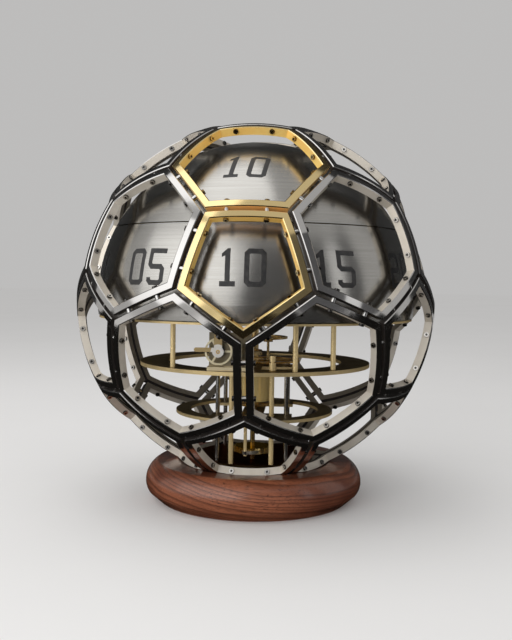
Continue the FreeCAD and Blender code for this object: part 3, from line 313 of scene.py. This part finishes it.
def metalMaterial(name, finish):
    material, tree, shader = newMaterial(name)
    marks = useGroup(tree, handling, Patch=metalMarks["patch"], Speck=metalMarks["speck"])
    grain = useGroup(tree, brushing, Stretch=finish["stretch"], Depth=finish["depth"])
    colour = mixColour(tree, remap(tree, grain.outputs["Streak"], 0.25, 0.75), finish["dark"],
                       finish["light"])
    specks = math2(tree, "MULTIPLY", marks.outputs["Specks"], metalMarks["speckShare"])
    colour = mixColour(tree, specks, colour, finish["dark"])
    plain = colour
    # Painted shade: faces that lie level are darkened to the given share of the colour
    if "level" in finish:
        facing = addNode(tree, "ShaderNodeTexCoord").outputs["Normal"]
        upright = addNode(tree, "ShaderNodeSeparateXYZ", {0: facing}).outputs["Z"]
        level = remap(tree, math2(tree, "ABSOLUTE", upright), 0.8, 0.95)
        darker = mixColour(tree, 1.0, colour, (finish["level"],) * 3 + (1,), "MULTIPLY")
        colour = mixColour(tree, level, colour, darker)
    # Painted shade: all above the given height is darkened to the given share of the colour
    if "upper" in finish:
        height = addNode(tree, "ShaderNodeSeparateXYZ", {0: objectPoint(tree)}).outputs["Z"]
        above = math2(tree, "GREATER_THAN", height, finish["upper"])
        darker = mixColour(tree, 1.0, colour, (finish["upperShadeShare"],) * 3 + (1,), "MULTIPLY")
        colour = mixColour(tree, above, colour, darker)
    if "rings" in finish:
        away = vector2(tree, "SUBTRACT", objectPoint(tree), balanceAxis)
        away = vector2(tree, "MULTIPLY", away, (1, 0, 1))
        away = addNode(tree, "ShaderNodeVectorMath", {0: away}, operation="LENGTH").outputs["Value"]
        for reach, ring in reversed(finish["rings"]):
            colour = mixColour(tree, math2(tree, "LESS_THAN", away, reach), colour, ring or plain)
    # Painted shade: below the flat top of a screw's head, its sides and socket take the darker colour
    if "flank" in finish:
        zones = useGroup(tree, panelZones)
        colour = mixColour(tree, zones.outputs["Top"], finish["flank"], colour)
    low, high = (finish["rough"] * share for share in metalMarks["hazeRough"])
    rough = remap(tree, marks.outputs["Haze"], 0.0, 1.0, low, high)
    plug(tree, shader, Base_Color=colour, Roughness=rough, Normal=grain.outputs["Normal"])
    shader.inputs["Metallic"].default_value = finish.get("metal", 1.0)
    if "edge" in finish:
        shader.inputs["Specular Tint"].default_value = finish["edge"]
    return material


# Dials: steel brushed around the axis, so that light stands on them in upright bands
dialFinish = {"light": (0.55, 0.538, 0.51, 1), "dark": (0.46, 0.448, 0.42, 1),
              "stretch": (12, 12, 4200), "depth": 0.07, "rough": 0.24, "anisotropy": 0.75,
              "patch": 25.0, "speck": 1200.0, "hazeRough": (0.98, 1.03)}


def dialMaterial(finish):
    material, tree, shader = newMaterial("brushedDial")
    grain = useGroup(tree, brushing, Stretch=finish["stretch"], Depth=finish["depth"])
    marks = useGroup(tree, handling, Patch=finish["patch"], Speck=finish["speck"])
    colour = mixColour(tree, remap(tree, grain.outputs["Streak"], 0.3, 0.7), finish["dark"],
                       finish["light"])
    low, high = (finish["rough"] * share for share in finish["hazeRough"])
    rough = remap(tree, marks.outputs["Haze"], 0.0, 1.0, low, high)
    plug(tree, shader, Base_Color=colour, Roughness=rough, Normal=grain.outputs["Normal"])
    around = addNode(tree, "ShaderNodeTangent", direction_type="RADIAL", axis="Z")
    plug(tree, shader, Tangent=around.outputs[0])
    shader.inputs["Metallic"].default_value = 1
    shader.inputs["Anisotropic"].default_value = finish["anisotropy"]
    shader.inputs["Anisotropic Rotation"].default_value = 0.25
    return material


# Figures: satin black enamel with a faint mottle
enamelFinish = {"dark": (0.018, 0.018, 0.019, 1), "light": (0.035, 0.034, 0.033, 1),
                "rough": (0.34, 0.46), "specular": 0.35, "patch": 400.0, "speck": 6000.0}


def figureMaterial(finish):
    material, tree, shader = newMaterial("blackEnamel")
    marks = useGroup(tree, handling, Patch=finish["patch"], Speck=finish["speck"])
    colour = mixColour(tree, marks.outputs["Haze"], finish["dark"], finish["light"])
    rough = remap(tree, marks.outputs["Haze"], 0.0, 1.0, *finish["rough"])
    plug(tree, shader, Base_Color=colour, Roughness=rough)
    shader.inputs["Specular IOR Level"].default_value = finish["specular"]
    return material


# Walnut: growth rings about a far line along X, wavered by noise, with pores drawn out along the grain
walnutFinish = {"heart": (0.040, 0.011, 0.005, 1), "ground": (0.135, 0.036, 0.016, 1),
                "pale": (0.300, 0.098, 0.046, 1), "ringCentre": (0, 0.01, -1.0), "ringPitch": 0.0026,
                "slope": 6.5, "pore": (0.018, 0.006, 0.004, 1), "waver": 0.010, "drawnOut": 0.03,
                "uneven": 2.4, "lateShare": 0.6, "fibreShare": 0.45, "poreShare": 0.7,
                "rough": (0.36, 0.52), "specular": 0.3, "coat": 0.9, "coatRough": 0.18}


def walnutMaterial(finish):
    material, tree, shader = newMaterial("walnut")
    turned = addNode(tree, "ShaderNodeMapping", {"Vector": objectPoint(tree),
                     "Rotation": (0, -math.radians(finish["slope"]), 0)}).outputs[0]
    place = vector2(tree, "SUBTRACT", turned, finish["ringCentre"])
    slow = vector2(tree, "MULTIPLY", place, (6, 16, 26))
    drift = addNode(tree, "ShaderNodeTexNoise", {"Vector": slow, "Scale": 1.0, "Detail": 3.0,
                    "Roughness": 0.5}).outputs[1]
    drift = vector2(tree, "SUBTRACT", drift, (0.5, 0.5, 0.5))
    drift = vector2(tree, "MULTIPLY", drift, (0, finish["waver"], finish["waver"]))
    bent = vector2(tree, "ADD", place, drift)
    radius = vector2(tree, "MULTIPLY", bent, (finish["drawnOut"], 1.0, 1.0))
    radius = addNode(tree, "ShaderNodeVectorMath", {0: radius}, operation="LENGTH").outputs["Value"]
    uneven = addNode(tree, "ShaderNodeTexNoise", {"W": radius, "Scale": 120.0, "Detail": 1.0},
                     noise_dimensions="1D").outputs[0]
    count = math2(tree, "ADD", math2(tree, "DIVIDE", radius, finish["ringPitch"]),
                  math2(tree, "MULTIPLY", uneven, finish["uneven"]))
    ring = math2(tree, "FRACT", count)
    late = math2(tree, "SUBTRACT", remap(tree, ring, 0.35, 0.9), remap(tree, ring, 0.92, 1.0))
    fibre = noise(tree, vector2(tree, "MULTIPLY", bent, (35, 1800, 1800)), 1.0, 4.0, 0.7)
    pores = noise(tree, vector2(tree, "MULTIPLY", bent, (160, 2600, 2600)), 1.0, 1.0, 0.4)
    pores = remap(tree, pores, 0.60, 0.70)
    tone = noise(tree, vector2(tree, "MULTIPLY", place, (6, 30, 60)), 1.0, 2.0, 0.5)
    colour = mixColour(tree, remap(tree, tone, 0.3, 0.7), finish["ground"], finish["pale"])
    late = math2(tree, "MULTIPLY", late, finish["lateShare"])
    colour = mixColour(tree, late, colour, finish["heart"])
    strand = remap(tree, fibre, 0.35, 0.8, 0.0, finish["fibreShare"])
    colour = mixColour(tree, strand, colour, finish["heart"])
    colour = mixColour(tree, math2(tree, "MULTIPLY", pores, finish["poreShare"]), colour, finish["pore"])
    height = math2(tree, "SUBTRACT", fibre, math2(tree, "MULTIPLY", pores, 0.8))
    bump = addNode(tree, "ShaderNodeBump", {"Strength": 0.25, "Distance": 0.00025, "Height": height})
    rough = remap(tree, fibre, 0.2, 0.8, *finish["rough"])
    plug(tree, shader, Base_Color=colour, Roughness=rough, Normal=bump.outputs[0])
    shader.inputs["Specular IOR Level"].default_value = finish["specular"]
    shader.inputs["Coat Weight"].default_value = finish["coat"]
    shader.inputs["Coat Roughness"].default_value = finish["coatRough"]
    return material


finishes = {name: panelMaterial(name, finish) for name, finish in panelFinishes.items()}
finishes.update({name: metalMaterial(name, finish) for name, finish in metalFinishes.items()})
finishes["brushedDial"] = dialMaterial(dialFinish)
finishes["blackEnamel"] = figureMaterial(enamelFinish)
finishes["walnut"] = walnutMaterial(walnutFinish)
print("finishes:", len(finishes))

# Which finish each piece of the frame takes
nodeFinishes = {
    "steel_screws": "screwSteel", "gold_screws": "screwGold", "frame_spacers": "brightSteel",
    "wood_base": "walnut", "hour_cap": "brushedDial", "minute_band": "brushedDial",
    "dial_plate": "plateBrass", "middle_plate": "plateBrass", "lower_plate": "plateBrass",
    "bottom_plate": "paintedShadeBrass", "brass_posts": "postBrass", "steel_pillars": "brightSteel",
    "centre_tube": "wheelBrass", "minute_spider": "satinBrass", "hour_arbor": "wheelBrass",
    "minute_wheel": "wheelBrass", "mainspring_barrel": "giltBrass", "mainspring": "springSteel",
    "barrel_arbor": "arborGilt", "click": "brightSteel", "third_wheel": "wheelBrass",
    "contrate_wheel": "wheelBrass", "escape_wheel": "wheelBrass", "pallet_fork": "brightSteel",
    "balance_wheel": "balanceBrass", "balance_spring": "springSteel", "escapement_block": "blockBrass",
    "balance_cock": "cockNickel",
}
for name, piece in nodes.items():
    panelFinish = "goldPanel" if name.startswith("gold") else "nickelPanel"
    piece.data.materials.clear()
    piece.data.materials.append(finishes[nodeFinishes.get(name, panelFinish)])
print("frame dressed")

# Figures on the dials. A figure is drawn flat as strokes, then laid on the dial's sphere.
minuteFigures = {"height": 0.0204, "width": 0.01175, "narrow": 0.0084, "gap": 0.0028,
                 "stroke": 0.00285, "chamfer": 0.0014, "slant": 0.0, "latitude": 11.87, "turn": -1.4,
                 "labels": [f"{5 * k:02d}" for k in range(12)],
                 "places": {0: -68.6, 1: -33.9, 2: 0.0, 3: 30.4, 4: 64.0}}
hourFigures = {"height": 0.0216, "width": 0.0111, "narrow": 0.0082, "gap": 0.0029, "stroke": 0.00275,
               "chamfer": 0.0013, "slant": 0.08, "latitude": 51.7, "turn": -2.9,
               "labels": [str(2 * k) for k in range(1, 7)], "places": {4: 0.0}}
figureRise = {"foot": -0.00003, "top": 0.00006, "shoulder": 0.06}
# A 1's cut corner and its flag: how far out and how far down from the top, in widths of a stroke
oneShape = {"corner": 0.42, "tip": 0.63, "tipHigh": 0.95, "tipLow": 1.68, "root": 0.2, "rootHigh": 0.22,
            "rootLow": 1.3}


# Both sides of a stroke of even width along a path, mitred at each corner.
def strokeSides(path, width, closed=False):
    path = np.array(path, float)
    ends = np.vstack([path[-1:], path, path[:1]]) if closed else path
    way = np.diff(ends, axis=0)
    way /= np.linalg.norm(way, axis=1)[:, None]
    normal = np.stack([-way[:, 1], way[:, 0]], axis=1)
    if not closed:
        normal = np.vstack([normal[:1], normal, normal[-1:]])
    before, after = normal[:-1], normal[1:]
    mitre = (before + after) / (1 + (before * after).sum(axis=1))[:, None]
    left, right = path + mitre * width / 2, path - mitre * width / 2
    if closed:
        left, right = np.vstack([left, left[:1]]), np.vstack([right, right[:1]])
    return left, right


# Strokes of one character in a box of the style's width and height, its lower left corner at zero.
def characterStrokes(character, style):
    s, c = style["stroke"], style["chamfer"]
    x0, x1 = s / 2, style["width"] - s / 2
    y0, y1 = s / 2, style["height"] - s / 2
    middle, tail = (y0 + y1) / 2, s
    top = [(x0, y1 - tail), (x0, y1 - c), (x0 + c, y1), (x1 - c, y1), (x1, y1 - c)]
    ring = [(x0 + c, y0), (x1 - c, y0), (x1, y0 + c), (x1, y1 - c), (x1 - c, y1), (x0 + c, y1),
            (x0, y1 - c), (x0, y0 + c)]
    bowl = [(x1, middle - c), (x1, y0 + c), (x1 - c, y0), (x0 + c, y0), (x0, y0 + c), (x0, y0 + tail)]
    bar = [(x0 + s / 2, middle), (x1 - s / 2, middle)]
    if character == "1":
        slab, full = style["narrow"] / 2, style["height"]
        middle = style["width"] / 2
        left, right = middle - s / 2, middle + s / 2
        part = {name: width * s for name, width in oneShape.items()}
        stem = (np.array([(left, s), (left, full - part["corner"]), (left + part["corner"], full)]),
                np.array([(right, s), (right, full - part["corner"]), (right, full)]))
        tip, root = left - part["tip"], left + part["root"]
        flag = (np.array([(tip, full - part["tipHigh"]), (root, full - part["rootHigh"])]),
                np.array([(tip, full - part["tipLow"]), (root, full - part["rootLow"])]))
        return [strokeSides([(middle - slab, y0), (middle + slab, y0)], s), stem, flag]
    paths = {
        "0": [],
        "2": [top + [(x1, middle + c), (x1 - c, middle), (x0 + c, middle), (x0, middle - c), (x0, y0),
                     (x1 + s / 2, y0)]],
        "3": [top + [(x1, middle + c), (x1 - c, middle), (x0 + s, middle)], bowl],
        "4": [[(x0, y1 + s / 2), (x0, middle - s), (x1 + s / 2, middle - s)],
              [(x1 - s, y1 + s / 2), (x1 - s, 0)]],
        "5": [[(x1 + s / 2, y1), (x0, y1), (x0, middle + c), (x0 + c, middle), (x1 - c, middle),
               (x1, middle - c)] + bowl[1:]],
        "6": [top[::-1][:-2] + [(x0, y1 - c), (x0, y0 + c), (x0 + c, y0), (x1 - c, y0), (x1, y0 + c),
                                (x1, middle - c), (x1 - c, middle), (x0 + s / 2, middle)]],
        "8": [bar],
    }[character]
    strokes = [strokeSides(path, s) for path in paths]
    if character in "08":
        strokes.append(strokeSides(ring, s, closed=True))
    return strokes


# Grid over a stroke: linear between its sides and along its length, with a low shoulder at each side.
def strokeGrid(sides, steps=5):
    left, right = sides
    along = np.linspace(0, len(left) - 1, (len(left) - 1) * steps + 1)
    whole = np.minimum(along.astype(int), len(left) - 2)
    part = (along - whole)[:, None]
    left = left[whole] * (1 - part) + left[whole + 1] * part
    right = right[whole] * (1 - part) + right[whole + 1] * part
    across = np.array([0, figureRise["shoulder"], 0.5, 1 - figureRise["shoulder"], 1])
    flat = left[:, None] * (1 - across)[None, :, None] + right[:, None] * across[None, :, None]
    rise = np.full(flat.shape[:2], figureRise["top"])
    rise[:, [0, -1]] = figureRise["foot"]
    return flat, rise


def gridFaces(rows, columns, start):
    corner = (np.arange(rows - 1)[:, None] * columns + np.arange(columns - 1)[None]).ravel() + start
    return np.stack([corner, corner + columns, corner + columns + 1, corner + 1], axis=1)


# Degrees around the dial for each label: those given places of their own, and the others evenly in the
# rest of the turn. The places are read from the photograph, apart from that of 00, which is a guess.
def spreadLabels(places, count):
    known = sorted(places)
    index = np.array(known + [known[0] + count])
    degrees = np.array([places[k] for k in known] + [places[known[0]] + 360])
    every = np.arange(count)
    every = np.where(every < known[0], every + count, every)
    return np.interp(every, index, degrees)


# Each character's flat points go along east and north from a point of the sphere and out to its radius.
def buildFigures(name, style, body):
    points, faces, count = [], [], 0
    places = spreadLabels(style["places"], len(style["labels"]))
    latitude = math.radians(style["latitude"])
    for label, place in zip(style["labels"], places):
        azimuth = math.radians(place + style["turn"])
        outward = np.array([math.sin(azimuth) * math.cos(latitude),
                            -math.cos(azimuth) * math.cos(latitude), math.sin(latitude)])
        east = np.array([math.cos(azimuth), math.sin(azimuth), 0])
        north = np.cross(outward, east)
        edge = -(style["width"] * len(label) + style["gap"] * (len(label) - 1)) / 2
        for mark in label:
            for sides in characterStrokes(mark, style):
                flat, rise = strokeGrid(sides)
                x = flat[..., 0] + edge
                y = flat[..., 1] - style["height"] / 2
                x = x + y * style["slant"]
                spot = outward * dialRadius + x[..., None] * east + y[..., None] * north
                spot *= (dialRadius + rise)[..., None] / np.linalg.norm(spot, axis=2)[..., None]
                rows, columns = rise.shape
                points.append(spot.reshape(-1, 3) + np.array(ballCentre))
                faces.append(gridFaces(rows, columns, count))
                count += rows * columns
            edge += style["width"] + style["gap"]
    points, faces = np.vstack(points), np.vstack(faces)
    first, second, _, fourth = (points[faces[:, k]] for k in range(4))
    facing = (np.cross(second - first, fourth - first) * (first - np.array(ballCentre))).sum(axis=1)
    faces[facing < 0] = faces[facing < 0][:, ::-1]
    mesh = bpy.data.meshes.new(name)
    mesh.from_pydata(points.tolist(), [], faces.tolist())
    mesh.materials.append(finishes["blackEnamel"])
    piece = bpy.data.objects.new(name, mesh)
    bpy.context.scene.collection.objects.link(piece)
    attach(piece, body)


buildFigures("minute_figures", minuteFigures, "minute_dial")
buildFigures("hour_figures", hourFigures, "hour_dial")
print("figures laid on the dials")

# Studio: a pale floor, soft lamps, one of them left out of reflections, and dark cards that only
# reflections show
studio = {"floorRadius": 8.0, "floorSides": 96, "floorRings": (0.0, 0.1, 0.3, 0.8, 2.0),
          "floorColour": (0.84, 0.83, 0.82, 1), "floorHaze": (0.72, 0.71, 0.70, 1), "hazeShare": 0.12,
          "floorRough": 0.8, "light": (0.60, 0.60, 0.60, 1), "backdrop": (0.51, 0.505, 0.50, 1)}
lamps = {
    "leftWindow": {"place": (-0.62, -0.64, 0.48), "size": (1.5, 0.8), "watts": 2.1, "spread": 130.0},
    "topBox": {"place": (-0.30, -0.10, 1.25), "size": (1.1, 0.9), "watts": 3.0, "spread": 180.0},
    "rightStrip": {"place": (1.0, -0.55, 0.45), "size": (0.22, 0.8), "watts": 0.28, "spread": 150.0},
    "frontFill": {"place": (-0.40, -0.95, 0.26), "size": (0.8, 0.4), "watts": 1.1, "spread": 90.0,
                  "reflected": False},
}
cards = {
    "frontCard": {"radius": 1.6, "azimuth": (-12.0, 82.0), "elevation": (-4.0, 40.0),
                  "colour": (0.18, 0.18, 0.185, 1)},
    "backCard": {"radius": 1.7, "azimuth": (110.0, 250.0), "elevation": (-3.0, 66.0),
                 "colour": (0.06, 0.06, 0.06, 1)},
}
floorCards = {
    "nearFloorCard": {"reach": (0.0595, 0.65), "azimuth": (-180.0, 180.0)},
    "farFloorCard": {"reach": (0.65, 1.5), "azimuth": (-15.0, 270.0)},
}
floorCardFinish = {"height": 0.0006, "colour": (0.012, 0.011, 0.010, 1)}
cardGrid = {"columns": 41, "rows": 17, "rough": 0.9}


def makeFloor():
    turn = np.linspace(0, math.tau, studio["floorSides"] + 1)[:-1]
    reach = np.array([*studio["floorRings"], studio["floorRadius"]])
    rows = np.stack([reach[1:, None] * np.cos(turn), reach[1:, None] * np.sin(turn),
                     np.zeros((len(reach) - 1, len(turn)))], axis=2).reshape(-1, 3)
    mesh = bpy.data.meshes.new("studioFloor")
    n = len(turn)
    faces = [(0, 1 + k, 1 + (k + 1) % n) for k in range(n)]
    for ring in range(len(reach) - 2):
        a, b = 1 + ring * n, 1 + (ring + 1) * n
        faces += [(a + k, b + k, b + (k + 1) % n, a + (k + 1) % n) for k in range(n)]
    mesh.from_pydata([(0, 0, 0)] + rows.tolist(), [], faces)
    material, tree, shader = newMaterial("paleFloor")
    marks = useGroup(tree, handling, Patch=3.0, Speck=300.0)
    haze = math2(tree, "MULTIPLY", marks.outputs["Haze"], studio["hazeShare"])
    plug(tree, shader, Base_Color=mixColour(tree, haze, studio["floorColour"], studio["floorHaze"]))
    shader.inputs["Roughness"].default_value = studio["floorRough"]
    shader.inputs["Specular IOR Level"].default_value = 0
    mesh.materials.append(material)
    floor = bpy.data.objects.new("studioFloor", mesh)
    bpy.context.scene.collection.objects.link(floor)


# Patches of a sphere about the ball, and a sector of the floor, seen only in reflections.
def makeCard(name, grid, colour):
    mesh = bpy.data.meshes.new(name)
    mesh.from_pydata(grid.reshape(-1, 3).tolist(), [], gridFaces(*grid.shape[:2], 0).tolist())
    material, tree, shader = newMaterial(name)
    shader.inputs["Base Color"].default_value = colour
    shader.inputs["Roughness"].default_value = cardGrid["rough"]
    shader.inputs["Specular IOR Level"].default_value = 0
    mesh.materials.append(material)
    piece = bpy.data.objects.new(name, mesh)
    piece.visible_camera = False
    piece.visible_diffuse = False
    piece.visible_shadow = False
    bpy.context.scene.collection.objects.link(piece)


def makeCards():
    columns = cardGrid["columns"]
    for name, patch in cards.items():
        azimuth = np.radians(np.linspace(*patch["azimuth"], columns))[None, :]
        elevation = np.radians(np.linspace(*patch["elevation"], cardGrid["rows"]))[:, None]
        grid = np.stack([np.sin(azimuth) * np.cos(elevation), -np.cos(azimuth) * np.cos(elevation),
                         np.sin(elevation) + 0 * azimuth], axis=2) * patch["radius"]
        makeCard(name, grid + np.array(ballCentre), patch["colour"])
    for name, sector in floorCards.items():
        azimuth = np.radians(np.linspace(*sector["azimuth"], columns))[None, :]
        reach = np.array(sector["reach"])[:, None]
        grid = np.stack([np.sin(azimuth) * reach, -np.cos(azimuth) * reach,
                         np.full((2, columns), floorCardFinish["height"])], axis=2)
        makeCard(name, grid, floorCardFinish["colour"])


def makeLamps():
    for name, lamp in lamps.items():
        light = bpy.data.lights.new(name, "AREA")
        light.shape = "RECTANGLE"
        light.size, light.size_y = lamp["size"]
        light.energy = lamp["watts"]
        light.spread = math.radians(lamp["spread"])
        holder = bpy.data.objects.new(name, light)
        holder.visible_camera = False
        holder.visible_glossy = lamp.get("reflected", True)
        holder.location = lamp["place"]
        holder.rotation_euler = (Vector(lamp["place"]) - ballCentre).to_track_quat("Z", "Y").to_euler()
        bpy.context.scene.collection.objects.link(holder)


# The world lights the scene at one level, and is seen as pale as the far floor.
def makeWorld():
    world = bpy.data.worlds.new("paleStudio")
    world.use_nodes = True
    tree = world.node_tree
    path = addNode(tree, "ShaderNodeLightPath")
    seen = math2(tree, "MAXIMUM", path.outputs["Is Camera Ray"], path.outputs["Is Glossy Ray"])
    seen = math2(tree, "MAXIMUM", seen, path.outputs["Is Transmission Ray"])
    colour = mixColour(tree, seen, studio["light"], studio["backdrop"])
    tree.links.new(colour, tree.nodes["Background"].inputs[0])
    bpy.context.scene.world = world


makeFloor()
makeCards()
makeLamps()
makeWorld()
bpy.context.scene.view_settings.view_transform = "Standard"
print("studio ready")
